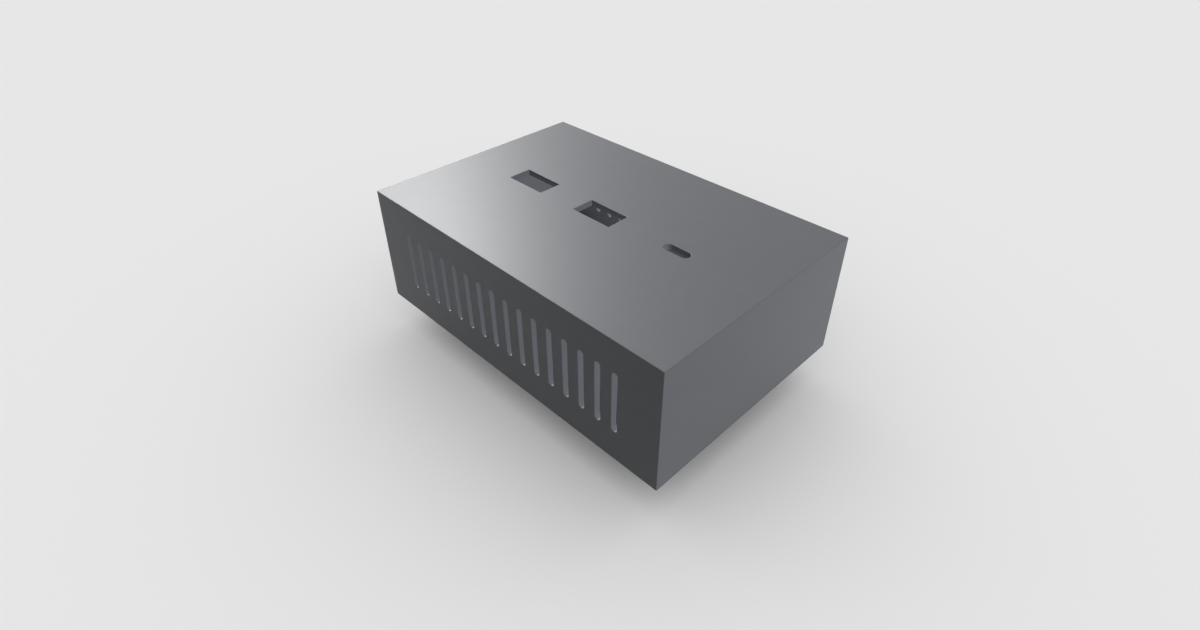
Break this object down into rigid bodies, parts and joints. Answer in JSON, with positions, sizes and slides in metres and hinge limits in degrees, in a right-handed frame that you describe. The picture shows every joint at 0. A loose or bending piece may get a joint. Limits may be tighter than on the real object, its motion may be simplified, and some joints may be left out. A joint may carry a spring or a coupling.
{
  "type": "din rail enclosure",
  "caption": "Plain rectangular vented case for a circuit board, with port openings in its face and a sprung clip underneath that snaps onto a top-hat rail.",
  "frame": {"origin": "middle of the footprint, on the plane that the bottoms of the rail hooks stand on", "axes": "+X along the rail and the case's length, +Y across the rail towards the release tab, +Z from the rail to the port face"},
  "size_m": [0.12, 0.08, 0.053],
  "materials": {
    "case_plastic": "fine satin grain",
    "clip_plastic": "fine matt grain",
    "spring_steel": "drawn wire",
    "screw_steel": "zinc plated",
    "insert_brass": "turned"
  },
  "bodies": {
    "case": {"housing": "case_plastic", "base_cover": "case_plastic", "clip_body": "clip_plastic", "latch_spring": "spring_steel", "cover_screws": "screw_steel", "cover_inserts": "insert_brass", "board_inserts": "insert_brass", "clip_screws": "screw_steel"},
    "latch": {"clip_latch": "clip_plastic"}
  },
  "joints": [
    {"name": "latch_slide", "type": "slide", "parent": "case", "child": "latch", "axis": [0, 1, 0], "range_m": [0, 0.005], "stiffness_N_per_m": 800, "springref_m": -0.004, "deforming": ["latch_spring"]}
  ]
}
